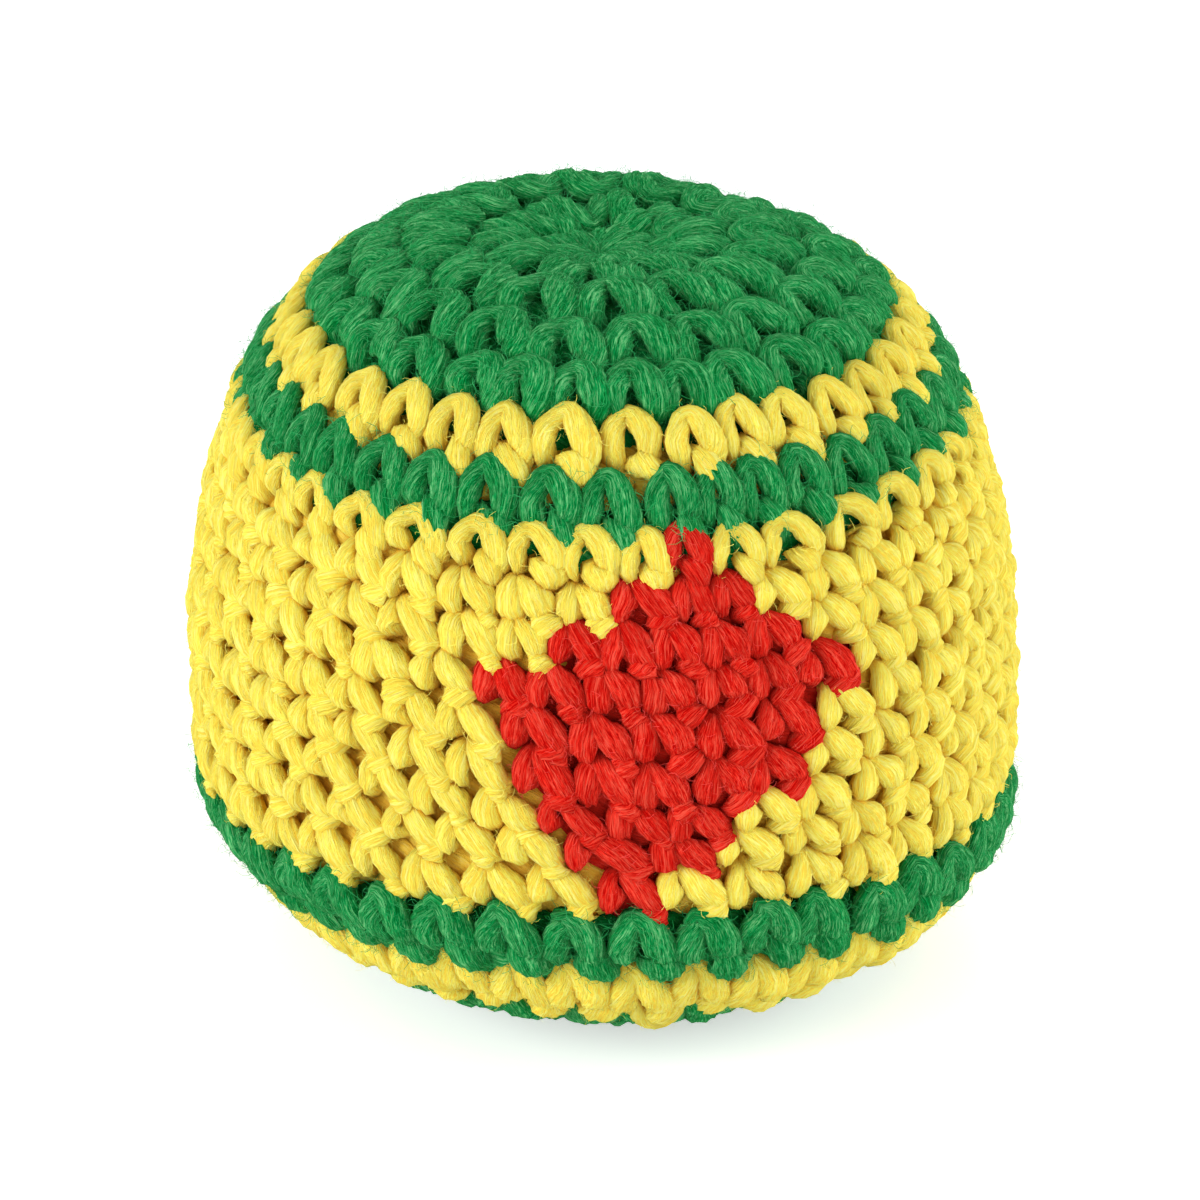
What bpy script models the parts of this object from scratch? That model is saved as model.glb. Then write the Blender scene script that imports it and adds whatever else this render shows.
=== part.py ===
"""Crocheted footbag: a stuffed bag of green and yellow stripes with two red diamonds.

It stands on its pressed base with the crown up. The origin is at the middle of that base,
+Z is up, and the diamonds face -Y and +Y. Lengths are in metres.

The bag is worked in rounds from the crown down, so its wall is a stack of turned rings, one
for each round. A diamond is red stitches worked into the face of the yellow band: the yellow
yarn is carried behind it, so it sits in a pocket in the band's outer half. Inside the wall
are a cloth liner, tied shut at the base, and the mass of pellets that fills it.
"""
import bpy
import bmesh
from math import log2, pi, radians, sin
from mathutils import Matrix

import numpy as np

# The stuffed bag
BAG_DIAMETER = 0.0547
CROWN_HEIGHT = 0.0505
CROWN_DIMPLE_DEPTH = 0.0028
CROWN_DIMPLE_RADIUS = 0.0074
BELLY_HEIGHT = 0.0166
REST_DEPTH = 0.0005

# How far out the corner between the crown and the side reaches, and the corner below it, as a
# share of the way to a sharp corner: 0.707 is an ellipse and 1 a box
CORNER_REACH_SHARE = 0.768

# Heights of the rounds, measured along the wall from the middle of the crown
CROWN_ROUND = 0.0041
YELLOW_STRIPE = 0.0033
GREEN_STRIPE = 0.0042
BAND_ROUND = 0.00266
LOWER_GREEN_STRIPE = 0.0042
LOWER_YELLOW_STRIPE = 0.0036
CROWN_ROUNDS = 5
BAND_ROUNDS = 9
BASE_ROUNDS = 6

# The crocheted wall
STITCH_DEPTH = 0.0030
RIDGE_HEIGHT = 0.0004
CLEARANCE = 0.0003

# Stitches in a round: the crown starts with six, and each round adds six up to the band
STITCHES_ADDED = 6
BAND_STITCHES = 42

# The diamonds, in the face of the yellow band
DIAMONDS = {"red_diamond_front": 0, "red_diamond_back": 1}
DIAMOND_STITCHES = 6
DIAMOND_DEPTH = 0.0014
DIAMOND_WIDEST_SHARE = 0.42

# The liner, its neck and the thread round the neck
LINER_WALL = 0.0006
NECK_RADIUS = 0.0015
NECK_BORE_RADIUS = 0.0007
NECK_LENGTH = 0.0015
TIE_THREAD_RADIUS = 0.0004

# How fine the turned pieces are
FACET_HEIGHT = 0.0013
LEAST_SEGMENTS = 24
LINER_SEGMENTS = 24
TIE_SEGMENTS = 20
TIE_RING_SEGMENTS = 8
MERIDIAN_SAMPLES = 720
MERGE_DISTANCE = 0.00001
CUTTER_OVERRUN = 0.002
CREASE_ANGLE = radians(40)

# Yarns, cloth and pellets: sRGB colour, roughness, metallic
FINISHES = {
    "green_yarn": ("26874A", 0.85, 0.0),
    "yellow_yarn": ("F2DF54", 0.85, 0.0),
    "red_yarn": ("D12E21", 0.85, 0.0),
    "liner_cloth": ("5A4A32", 0.8, 0.0),
    "tie_thread": ("D8D2C4", 0.8, 0.0),
    "pellets": ("D9D6CC", 0.4, 0.0),
}


def clear_scene():
    for obj in list(bpy.data.objects):
        bpy.data.objects.remove(obj, do_unlink=True)


def new_collection(name):
    collection = bpy.data.collections.new(name)
    bpy.context.scene.collection.children.link(collection)
    return collection


def linear_colour(hex_text):
    """Turn an sRGB colour such as 26874A into the linear values that a shader takes."""
    values = [int(hex_text[i:i + 2], 16) / 255 for i in (0, 2, 4)]
    return [v / 12.92 if v <= 0.04045 else ((v + 0.055) / 1.055) ** 2.4 for v in values] + [1]


def new_material(name):
    hex_text, roughness, metallic = FINISHES[name]
    material = bpy.data.materials.new(name)
    material.use_nodes = True
    shader = material.node_tree.nodes["Principled BSDF"]
    shader.inputs["Base Color"].default_value = linear_colour(hex_text)
    shader.inputs["Roughness"].default_value = roughness
    shader.inputs["Metallic"].default_value = metallic
    return material


class Meridian:
    """The bag's half outline through the joins between its rounds, from crown to base.

    Above and below the belly it is a quarter of a superellipse. The crown sinks a little in
    the middle, where the first stitches are drawn shut.
    """

    def __init__(self):
        turn = np.linspace(0, pi, MERIDIAN_SAMPLES + 1)
        power = -2 * log2(CORNER_REACH_SHARE)
        belly_radius = BAG_DIAMETER / 2 - RIDGE_HEIGHT
        rise = CROWN_HEIGHT - RIDGE_HEIGHT - BELLY_HEIGHT
        fall = BELLY_HEIGHT + REST_DEPTH - RIDGE_HEIGHT
        self.radius = belly_radius * np.abs(np.sin(turn)) ** power
        self.radius[0] = self.radius[-1] = 0
        reach = np.abs(np.cos(turn)) ** power
        dimple = CROWN_DIMPLE_DEPTH * np.exp(-(self.radius / CROWN_DIMPLE_RADIUS) ** 2)
        above = BELLY_HEIGHT + rise * reach - dimple
        below = BELLY_HEIGHT - fall * reach
        self.height = np.where(turn < pi / 2, above, below)
        across, down = np.diff(self.radius), np.diff(self.height)
        self.arc = np.concatenate([[0], np.cumsum(np.hypot(across, down))])
        self.length = self.arc[-1]
        out_r = -np.gradient(self.height, self.arc)
        out_z = np.gradient(self.radius, self.arc)
        out_r[0] = out_r[-1] = 0
        size = np.hypot(out_r, out_z)
        self.out_r, self.out_z = out_r / size, out_z / size

    def normal(self, arc):
        out_r, out_z = np.interp(arc, self.arc, self.out_r), np.interp(arc, self.arc, self.out_z)
        size = np.hypot(out_r, out_z)
        return out_r / size, out_z / size

    def point(self, arc, depth=0, join=None):
        """The point at an arc length, pushed in along the normal there or at a join."""
        out_r, out_z = self.normal(arc if join is None else join)
        radius = np.interp(arc, self.arc, self.radius) - depth * out_r
        height = np.interp(arc, self.arc, self.height) - depth * out_z
        return float(radius), float(height)


def pressed(point):
    """Keep a point of the outside above the surface that the bag rests on."""
    return point[0], max(point[1], 0)


def ridge(meridian, top, bottom):
    """The outside of one round, bulging from join to join."""
    steps = max(2, round((bottom - top) / FACET_HEIGHT))
    points = []
    for i in range(steps + 1):
        share = i / steps
        arc = top + (bottom - top) * share
        points.append(pressed(meridian.point(arc, -RIDGE_HEIGHT * sin(pi * share))))
    return points


def round_outline(meridian, top, bottom):
    """A round between two joins, a clearance apart from the rounds above and below."""
    gap = CLEARANCE / 2
    outside = ridge(meridian, top + gap, bottom - gap)
    inside = [
        meridian.point(bottom - gap, STITCH_DEPTH, join=bottom),
        meridian.point(top + gap, STITCH_DEPTH, join=top),
    ]
    return outside + inside


def crown_disc_outline(meridian, bottom):
    """The first round, drawn shut in the middle: from the axis out and back to it."""
    gap = CLEARANCE / 2
    outside = ridge(meridian, 0, bottom - gap)
    outside[0] = meridian.point(0)
    inside = [meridian.point(bottom - gap, STITCH_DEPTH, join=bottom), meridian.point(0, STITCH_DEPTH)]
    return outside + inside


def base_disc_outline(meridian, top):
    """The last round, drawn shut, with a hollow inside it for the liner's tied neck."""
    gap = CLEARANCE / 2
    edge = meridian.point(top + gap, STITCH_DEPTH, join=top)
    hollow_radius = NECK_RADIUS + CLEARANCE + 2 * TIE_THREAD_RADIUS + CLEARANCE
    inner_height = meridian.point(meridian.length, STITCH_DEPTH)[1]
    floor_height = inner_height + CLEARANCE - NECK_LENGTH - CLEARANCE
    hollow = [(0, floor_height), (hollow_radius, floor_height), (hollow_radius, inner_height)]
    return hollow + [edge] + ridge(meridian, top + gap, meridian.length)


def turned(name, outline, segments, collection, closed=True):
    """Turn an outline of (radius, height) points about Z with a Screw modifier."""
    count = len(outline)
    edges = [(i, i + 1) for i in range(count - 1)]
    if closed:
        edges.append((count - 1, 0))
    mesh = bpy.data.meshes.new(name)
    mesh.from_pydata([(radius, 0, height) for radius, height in outline], edges, [])
    obj = bpy.data.objects.new(name, mesh)
    collection.objects.link(obj)
    screw = obj.modifiers.new("turn", "SCREW")
    screw.axis = "Z"
    screw.angle = 2 * pi
    screw.steps = segments
    screw.render_steps = segments
    screw.use_merge_vertices = True
    screw.merge_threshold = MERGE_DISTANCE
    return obj


def set_aside(obj):
    """Mark a cutter, which isn't part of the bag."""
    obj.hide_render = True
    obj.display_type = "WIRE"


def cut(obj, cutter, operation="DIFFERENCE"):
    boolean = obj.modifiers.new(operation.lower(), "BOOLEAN")
    boolean.operation = operation
    boolean.object = cutter


def finish(obj, material):
    """Apply the modifiers, shade the round faces smooth and give the piece its material."""
    bpy.context.view_layer.update()
    evaluated = obj.evaluated_get(bpy.context.evaluated_depsgraph_get())
    mesh = bpy.data.meshes.new_from_object(evaluated)
    obj.modifiers.clear()
    obj.data = mesh
    mesh.name = obj.name
    mesh.shade_smooth()
    mesh.set_sharp_from_angle(angle=CREASE_ANGLE)
    mesh.materials.clear()
    mesh.materials.append(material)


def kite_outline(meridian, joins, grow):
    """The diamond seen from the front, as (x, height) points, grown by a clearance.

    It spans the band from join to join and is widest a little above the middle.
    """
    top, bottom = joins[0], joins[-1]
    widest = meridian.point(top + (bottom - top) * DIAMOND_WIDEST_SHARE)
    half_width = widest[0] * sin(DIAMOND_STITCHES / BAND_STITCHES * pi)
    upper = meridian.point(top)[1] - widest[1]
    lower = widest[1] - meridian.point(bottom)[1]
    upper_grow = grow * np.hypot(1 / half_width, 1 / upper)
    lower_grow = grow * np.hypot(1 / half_width, 1 / lower)
    corner_rise = (upper_grow - lower_grow) / (1 / upper + 1 / lower)
    corner_x = half_width * (1 + upper_grow - corner_rise / upper)
    return [
        (0, widest[1] + upper * (1 + upper_grow)),
        (corner_x, widest[1] + corner_rise),
        (0, widest[1] - lower * (1 + lower_grow)),
        (-corner_x, widest[1] + corner_rise),
    ]


def prism(name, outline, turn, collection):
    """An upright outline pushed from outside the bag to its axis, turned about Z."""
    reach = BAG_DIAMETER / 2 + 2 * CUTTER_OVERRUN
    curve = bpy.data.curves.new(name, "CURVE")
    curve.dimensions = "2D"
    curve.fill_mode = "BOTH"
    curve.extrude = reach / 2
    spline = curve.splines.new("POLY")
    spline.points.add(len(outline) - 1)
    for point, (x, height) in zip(spline.points, outline):
        point.co = (x, height, 0, 1)
    spline.use_cyclic_u = True
    flat = bpy.data.objects.new(name, curve)
    collection.objects.link(flat)
    stand_up = Matrix.Translation((0, -reach / 2, 0)) @ Matrix.Rotation(pi / 2, 4, "X")
    flat.matrix_world = Matrix.Rotation(turn, 4, "Z") @ stand_up
    bpy.context.view_layer.update()
    evaluated = flat.evaluated_get(bpy.context.evaluated_depsgraph_get())
    mesh = bpy.data.meshes.new_from_object(evaluated)
    welded = bmesh.new()
    welded.from_mesh(mesh)
    bmesh.ops.remove_doubles(welded, verts=welded.verts, dist=MERGE_DISTANCE)
    bmesh.ops.recalc_face_normals(welded, faces=welded.faces)
    welded.to_mesh(mesh)
    welded.free()
    solid = bpy.data.objects.new(name, mesh)
    collection.objects.link(solid)
    solid.matrix_world = flat.matrix_world.copy()
    bpy.data.objects.remove(flat, do_unlink=True)
    set_aside(solid)
    return solid


def band_skin_outline(meridian, joins):
    """The outer half of the whole band, from which a diamond is cut."""
    gap = CLEARANCE / 2
    ends = [joins[0] + gap] + joins[1:-1] + [joins[-1] - gap]
    outside = []
    for top, bottom in zip(ends, ends[1:]):
        outside += ridge(meridian, top, bottom)[:-1]
    outside.append(meridian.point(ends[-1]))
    inside = [meridian.point(arc, DIAMOND_DEPTH, join=join) for arc, join in zip(ends, joins)]
    return outside + inside[::-1]


def pocket_skin_outline(meridian, joins):
    """The space that a diamond takes with its clearance, open past the band's two ends."""
    stations = [joins[0] - GREEN_STRIPE] + joins + [joins[-1] + LOWER_GREEN_STRIPE]
    outer_radius = BAG_DIAMETER / 2 + CUTTER_OVERRUN
    outside = [(outer_radius, meridian.point(arc)[1]) for arc in (stations[0], stations[-1])]
    floor = [meridian.point(arc, DIAMOND_DEPTH + CLEARANCE) for arc in stations]
    return outside + floor[::-1]


def make_diamonds(meridian, joins, bag, cutters, material):
    """Make each diamond and return the pockets to cut for them in the band's rounds."""
    pockets = []
    for name, place in DIAMONDS.items():
        turn = 2 * pi * place / len(DIAMONDS)
        diamond = turned(name, band_skin_outline(meridian, joins), BAND_STITCHES, bag)
        shape = prism(name + "_shape", kite_outline(meridian, joins, 0), turn, cutters)
        cut(diamond, shape, "INTERSECT")
        finish(diamond, material)
        pocket = turned(name + "_pocket", pocket_skin_outline(meridian, joins), BAND_STITCHES, cutters)
        pocket_outline = kite_outline(meridian, joins, CLEARANCE)
        cut(pocket, prism(name + "_pocket_shape", pocket_outline, turn, cutters), "INTERSECT")
        set_aside(pocket)
        pockets.append(pocket)
    return pockets


def make_liner(meridian, joins, bag, material):
    """A cloth bag just inside the wall, with its neck standing down into the base's hollow."""
    outer_depth = STITCH_DEPTH + CLEARANCE
    inner_depth = outer_depth + LINER_WALL
    stations = [0] + joins
    underside = meridian.point(meridian.length, outer_depth)[1]
    mouth = underside - NECK_LENGTH
    outside = [meridian.point(arc, outer_depth) for arc in stations]
    neck = [
        (NECK_RADIUS, underside),
        (NECK_RADIUS, mouth),
        (NECK_BORE_RADIUS, mouth),
        (NECK_BORE_RADIUS, underside + LINER_WALL),
    ]
    inside = [meridian.point(arc, inner_depth) for arc in stations]
    liner = turned("liner_pouch", outside + neck + inside[::-1], LINER_SEGMENTS, bag, closed=False)
    finish(liner, material)


def make_tie(meridian, bag, material):
    """The thread round the liner's neck, halfway between the base's hollow and the liner."""
    underside = meridian.point(meridian.length, STITCH_DEPTH + CLEARANCE)[1]
    centre = underside - CLEARANCE - TIE_THREAD_RADIUS
    bpy.ops.mesh.primitive_torus_add(
        location=(0, 0, centre),
        major_radius=NECK_RADIUS + CLEARANCE + TIE_THREAD_RADIUS,
        minor_radius=TIE_THREAD_RADIUS,
        major_segments=TIE_SEGMENTS,
        minor_segments=TIE_RING_SEGMENTS,
    )
    tie = bpy.context.object
    tie.name = "liner_tie"
    for collection in list(tie.users_collection):
        collection.objects.unlink(tie)
    bag.objects.link(tie)
    finish(tie, material)


def make_fill(meridian, joins, bag, material):
    """The pellets, as the one mass that they make in the liner."""
    depth = STITCH_DEPTH + CLEARANCE + LINER_WALL + CLEARANCE
    outline = [meridian.point(arc, depth) for arc in [0] + joins + [meridian.length]]
    fill = turned("pellet_fill", outline, LINER_SEGMENTS, bag, closed=False)
    finish(fill, material)


def plan_rounds(meridian):
    """Name each round in order, with its height along the wall, stitches and yarn."""
    rounds = []
    for i in range(CROWN_ROUNDS):
        stitches = STITCHES_ADDED * (i + 1)
        rounds.append((f"crown_round_{i + 1}", CROWN_ROUND, stitches, "green_yarn"))
    stitches += STITCHES_ADDED
    rounds.append(("yellow_stripe", YELLOW_STRIPE, stitches, "yellow_yarn"))
    rounds.append(("green_stripe", GREEN_STRIPE, BAND_STITCHES, "green_yarn"))
    for i in range(BAND_ROUNDS):
        rounds.append((f"band_round_{i + 1}", BAND_ROUND, BAND_STITCHES, "yellow_yarn"))
    rounds.append(("lower_green_stripe", LOWER_GREEN_STRIPE, BAND_STITCHES, "green_yarn"))
    rounds.append(("lower_yellow_stripe", LOWER_YELLOW_STRIPE, BAND_STITCHES, "yellow_yarn"))
    base_height = (meridian.length - sum(height for _, height, _, _ in rounds)) / BASE_ROUNDS
    for i in range(BASE_ROUNDS):
        stitches = STITCHES_ADDED * (BASE_ROUNDS - i)
        rounds.append((f"base_round_{i + 1}", base_height, stitches, "green_yarn"))
    return rounds


def main():
    clear_scene()
    bag = new_collection("Footbag")
    cutters = new_collection("Footbag cutters")
    materials = {name: new_material(name) for name in FINISHES}
    meridian = Meridian()
    rounds = plan_rounds(meridian)

    joins = []
    reached = 0
    for _, height, _, _ in rounds[:-1]:
        reached += height
        joins.append(reached)
    band_start = CROWN_ROUNDS + 1
    band_joins = joins[band_start:band_start + BAND_ROUNDS + 1]
    pockets = make_diamonds(meridian, band_joins, bag, cutters, materials["red_yarn"])

    for i, (name, _, stitches, yarn) in enumerate(rounds):
        segments = max(stitches, LEAST_SEGMENTS)
        if i == 0:
            ring = turned(name, crown_disc_outline(meridian, joins[0]), segments, bag, closed=False)
        elif i == len(rounds) - 1:
            ring = turned(name, base_disc_outline(meridian, joins[-1]), segments, bag, closed=False)
        else:
            ring = turned(name, round_outline(meridian, joins[i - 1], joins[i]), segments, bag)
        if name.startswith("band_round"):
            for pocket in pockets:
                cut(ring, pocket)
        finish(ring, materials[yarn])

    make_liner(meridian, joins, bag, materials["liner_cloth"])
    make_tie(meridian, bag, materials["tie_thread"])
    make_fill(meridian, joins, bag, materials["pellets"])


main()
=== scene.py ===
"""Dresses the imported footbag: every crocheted stitch as real yarn, with the lining, tie and pellets inside."""

import math
from collections import namedtuple

import bpy
import numpy as np
from bpy.props import FloatProperty, FloatVectorProperty, IntProperty, PointerProperty
from mathutils import Euler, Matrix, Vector


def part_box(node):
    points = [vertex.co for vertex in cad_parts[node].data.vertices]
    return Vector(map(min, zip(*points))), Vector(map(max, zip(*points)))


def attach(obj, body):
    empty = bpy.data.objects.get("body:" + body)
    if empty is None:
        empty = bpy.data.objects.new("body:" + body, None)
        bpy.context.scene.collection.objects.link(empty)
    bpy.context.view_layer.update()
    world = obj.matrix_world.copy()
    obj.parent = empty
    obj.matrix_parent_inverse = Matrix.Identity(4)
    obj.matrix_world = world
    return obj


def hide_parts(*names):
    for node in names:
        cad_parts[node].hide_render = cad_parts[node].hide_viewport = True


bl_info = {
    "name": "Crocheted Footbag",
    "version": (1, 0, 0),
    "blender": (4, 5, 0),
    "location": "3D View > Sidebar > Footbag",
    "description": "Builds a crocheted footbag from stitched yarn",
    "category": "Add Mesh",
}

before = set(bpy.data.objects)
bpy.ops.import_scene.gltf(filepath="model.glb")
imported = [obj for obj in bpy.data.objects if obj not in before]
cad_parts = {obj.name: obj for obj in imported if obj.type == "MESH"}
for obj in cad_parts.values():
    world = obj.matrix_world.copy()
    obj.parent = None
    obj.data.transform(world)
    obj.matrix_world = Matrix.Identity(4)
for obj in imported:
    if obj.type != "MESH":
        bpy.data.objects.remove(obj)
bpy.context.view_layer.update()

MM = 0.001

# A round of stitches: the CAD node that it stands for, its height down the side, how many stitches it has,
# its yarn, how its stitches lie, and the measured angles of some of them as (stitch, degrees).
Round = namedtuple("Round", "node height stitches yarn style angles")

# How a stitch lies in its round. arch is 0 where both legs leave one tight hole and 1 where they form an arch;
# left and right are where the legs end and rise how far the arch stands above its round, in stitch sizes;
# width scales the yarn, lift raises it, and sink is how deep the stitch's foot lies, in millimetres.
Style = namedtuple("Style", "arch left right rise width lift sink", defaults=[0.0])

STYLES = {
    "pole": Style(0.6, -0.22, 0.42, 0.0, 1.5, 0.1),
    "crown": Style(0.9, -0.28, 0.42, 0.0, 1.25, 0.35, 1.1),
    "ring": Style(1.0, -0.28, 0.32, 0.0, 0.94, 0.25),
    "second": Style(0.95, -0.24, 0.36, 0.0, 1.0, 0.2),
    "first": Style(0.9, -0.26, 0.42, 0.05, 0.9, 0.15),
    "band": Style(0.0, 0.0, 0.84, 0.0, 1.08, 0.0),
    "hem": Style(0.75, -0.15, 0.42, -0.12, 1.25, 0.22),
    "last": Style(0.4, -0.2, 0.5, -0.1, 1.35, 0.0),
    "rim": Style(0.5, -0.2, 0.5, 0.0, 1.4, -0.2),
    "base": Style(0.5, -0.2, 0.5, 0.0, 1.4, 0.0),
}

# The camera looks at the bag from this angle, and the measured angles are to the right of that.
SIGHT_LINE = -9.2

ROUNDS = (
    Round("crown_round_1", 5.0 * MM, 6, "green", "pole", ((0, 12.0),)),
    Round("crown_round_2", 4.3 * MM, 11, "green", "crown", ((0, -6.0),)),
    Round("crown_round_3", 4.3 * MM, 16, "green", "crown", ((0, 1.8),)),
    Round("crown_round_4", 3.5 * MM, 21, "green", "crown", ((0, 6.4),)),
    Round(
        "crown_round_5", 2.9 * MM, 28, "green", "crown",
        ((-2, -26.1), (-1, -15.3), (0, -4.9), (1, 5.9), (2, 15.8), (3, 26.0)),
    ),
    Round(
        "yellow_stripe", 3.5 * MM, 34, "yellow", "ring",
        (
            (-2, -26.5), (-1, -17.0), (0, -5.0), (1, 5.7), (2, 15.6), (3, 24.8), (4, 34.6),
            (5, 45.0), (6, 55.0),
        ),
    ),
    Round(
        "green_stripe", 3.8 * MM, 38, "green", "second",
        (
            (-6, -54.5), (-5, -47.2), (-4, -35.8), (-3, -28.0), (-2, -18.2), (-1, -8.8), (0, 0.8),
            (1, 9.8), (2, 17.4), (3, 24.8), (4, 33.0), (5, 42.0), (6, 52.0),
        ),
    ),
    Round(
        "band_round_1", 2.6 * MM, 42, "yellow", "first",
        (
            (-8, -56.5), (-7, -47.2), (-6, -38.8), (-5, -29.0), (-4, -18.9), (-3, -10.6), (-2, -2.2),
            (-1, 5.9), (0, 12.0), (1, 19.6), (2, 28.1), (3, 38.6), (4, 48.8), (5, 58.6),
        ),
    ),
    Round(
        "band_round_2", 2.65 * MM, 42, "yellow", "band",
        ((-3, -12.2), (-2, -4.7), (-1, 2.6), (0, 11.6), (1, 17.0), (2, 23.6), (3, 31.4)),
    ),
    Round("band_round_3", 2.65 * MM, 42, "yellow", "band", ((-3, -12.0), (-2, -5.0), (2, 22.0), (3, 30.5))),
    Round("band_round_4", 2.65 * MM, 42, "yellow", "band", ((-3, -15.0), (3, 29.0))),
    Round("band_round_5", 2.65 * MM, 42, "yellow", "band", ((-3, -19.5), (-2, -11.0), (2, 23.0), (3, 32.0))),
    Round("band_round_6", 2.65 * MM, 42, "yellow", "band", ((-2, -9.2), (2, 21.2))),
    Round("band_round_7", 2.65 * MM, 42, "yellow", "band", ((-2, -6.5), (1, 20.0))),
    Round("band_round_8", 2.65 * MM, 42, "yellow", "band", ((-1, -3.0), (0, 9.0))),
    Round("band_round_9", 3.4 * MM, 42, "yellow", "band", ((-1, 0.8), (0, 9.5))),
    Round("lower_green_stripe", 4.4 * MM, 42, "green", "hem", ((-1, -4.7), (0, 3.9))),
    Round("lower_yellow_stripe", 5.9 * MM, 42, "yellow", "last", ((-1, -6.4), (0, 2.4))),
    Round("base_round_1", 4.3 * MM, 36, "green", "rim", ((0, 0.0),)),
    Round("base_round_2", 4.3 * MM, 30, "green", "base", ((0, 2.0),)),
    Round("base_round_3", 4.3 * MM, 24, "green", "base", ((0, 4.0),)),
    Round("base_round_4", 4.3 * MM, 18, "green", "base", ((0, 6.0),)),
    Round("base_round_5", 4.3 * MM, 12, "green", "base", ((0, 8.0),)),
    Round("base_round_6", 3.8 * MM, 6, "green", "base", ((0, 10.0),)),
)

# First and last red stitch of each band round, counted from the diamond's top stitch.
DIAMOND_ROWS = ((0, 0), (-1, 1), (-2, 2), (-3, 3), (-2, 2), (-2, 2), (-2, 0), (-1, 0), (-1, -1))
DIAMOND_STEP = 21
DIAMONDS = {"red_diamond_front": 0, "red_diamond_back": 1}

# The path of the yarn through one stitch: across and down in stitch sizes, outward in millimetres, the yarn's
# half width in millimetres, and how many rings the sweep has up to the next point. The first table is for legs
# that leave one hole, the second for legs that form an arch, with L and R the ends of its legs.
TIGHT_PATH = (
    (0.08, 1.10, -1.30, 0.50, 1),
    (0.06, 1.00, -0.60, 0.66, 2),
    (0.00, 0.78, 0.30, 0.88, 2),
    (-0.03, 0.52, 0.52, 0.88, 2),
    (-0.02, 0.24, 0.28, 0.64, 2),
    (0.01, 0.06, -0.40, 0.42, 1),
    (0.06, -0.02, -0.85, 0.38, 1),
    (0.11, 0.06, -0.30, 0.48, 2),
    (0.24, 0.23, 0.35, 0.70, 2),
    (0.41, 0.46, 0.58, 0.90, 2),
    (0.60, 0.72, 0.46, 0.90, 2),
    (0.75, 0.93, -0.10, 0.68, 1),
    (0.84, 1.04, -0.80, 0.50, 1),
    (0.84, 0.98, -0.80, 0.50, 1),
    (0.78, 0.86, -0.10, 0.74, 2),
    (0.67, 0.98, 0.34, 1.00, 2),
    (0.54, 1.16, 0.28, 0.96, 2),
    (0.44, 1.34, -0.35, 0.66, 1),
    (0.46, 1.38, -1.20, 0.50, 1),
    (0.80, 1.25, -1.55, 0.46, 1),
)
ARCH_PATH = (
    (("L", 0.12), 1.06, -1.20, 0.52, 1),
    (("L", 0.09), 0.94, -0.45, 0.70, 2),
    (("L", 0.01), 0.74, 0.45, 0.84, 2),
    (("L", -0.03), 0.50, 0.72, 0.84, 2),
    (("L", 0.03), 0.27, 0.78, 0.76, 2),
    (("L", 0.13), 0.11, 0.78, 0.70, 2),
    (0.00, 0.03, 0.84, 0.74, 2),
    (("R", -0.20), 0.12, 0.94, 0.84, 2),
    (("R", -0.06), 0.36, 0.92, 0.92, 2),
    (("R", 0.03), 0.61, 0.74, 0.92, 2),
    (("R", 0.02), 0.84, 0.28, 0.80, 2),
    (("R", -0.02), 0.98, -0.35, 0.60, 1),
    (("R", -0.08), 0.98, -0.90, 0.50, 1),
    (("R", -0.26), 0.78, -0.70, 0.60, 1),
    (("R", -0.30), 0.70, -0.05, 0.86, 2),
    (("R", -0.20), 0.83, 0.48, 1.04, 2),
    (("R", -0.04), 1.06, 0.55, 1.02, 2),
    (("R", 0.09), 1.28, -0.10, 0.70, 1),
    (("R", 0.14), 1.38, -1.10, 0.50, 1),
    (("R", 0.30), 1.24, -1.50, 0.46, 1),
)
# The rows of both tables that make the stitch's foot.
FOOT = slice(13, 18)
# The yarn behind each stitch, in the same way but with its half width in round heights. One strand lies behind
# the legs, and the other between the rounds, where it leaves a hole at some of the stitches.
BACKING_PATH = ((0.0, 0.50, -0.85, 0.50, 1), (0.33, 0.52, -0.78, 0.50, 1), (0.67, 0.50, -0.82, 0.50, 1))
BETWEEN_PATH = (
    (0.0, 1.02, -1.05, 0.34, 2),
    (0.25, 1.00, -0.80, 0.46, 2),
    (0.5, 0.98, -0.60, 0.52, 2),
    (0.76, 1.00, -0.80, 0.46, 2),
)
# How much deeper that second strand lies at a hole, in millimetres, and the share of stitches that have one.
HOLE_DEPTH = 1.2
HOLE_SHARE = 0.3

# How far the yarn behind the stitches moves down, in stitch sizes, and out, in millimetres, where they form arches.
BEHIND_DROP = 0.3
BELOW_DROP = 0.2
BELOW_LIFT = 0.35

# How much each point of a stitch wanders by itself, as a share of the unevenness, and how much less a whole
# stitch strays downward and how many millimetres it strays outward, for each stitch size that it strays sideways.
WANDER = 0.35
STRAY_DOWN = 0.8
STRAY_OUT = 1.5

# Limits of the yarn's lift and half width, in millimetres, and the least gap between yarn and floor.
LIFT_RANGE = (-2.5, 2.0)
WIDTH_RANGE = (0.3, 2.4)
FLOOR_GAP = 0.05 * MM

# The outline's steps, and how many of them to each side its directions are averaged over.
OUTLINE_STEPS = 700
SMOOTHING = 7

# The base is out of sight, so its yarn has fewer strands. Loose fibres grow above this height, in millimetres.
BASE_PLIES = 6
LOWEST_FIBRE = 0.3
STITCH_SEED = 20
FIBRE_SEED = 11

# The filling: how far pellets lie from the lining, how far they stray as a share of their size, and their faces.
PELLET_GAP = 0.0015
PELLET_STRAY = 0.06
PELLET_SEGMENTS = 8
PELLET_RINGS = 5
PELLET_SEED = 8
LINING_SEGMENTS = 72
LINING_RINGS = 48
TIE_TURNS = 3

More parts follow.
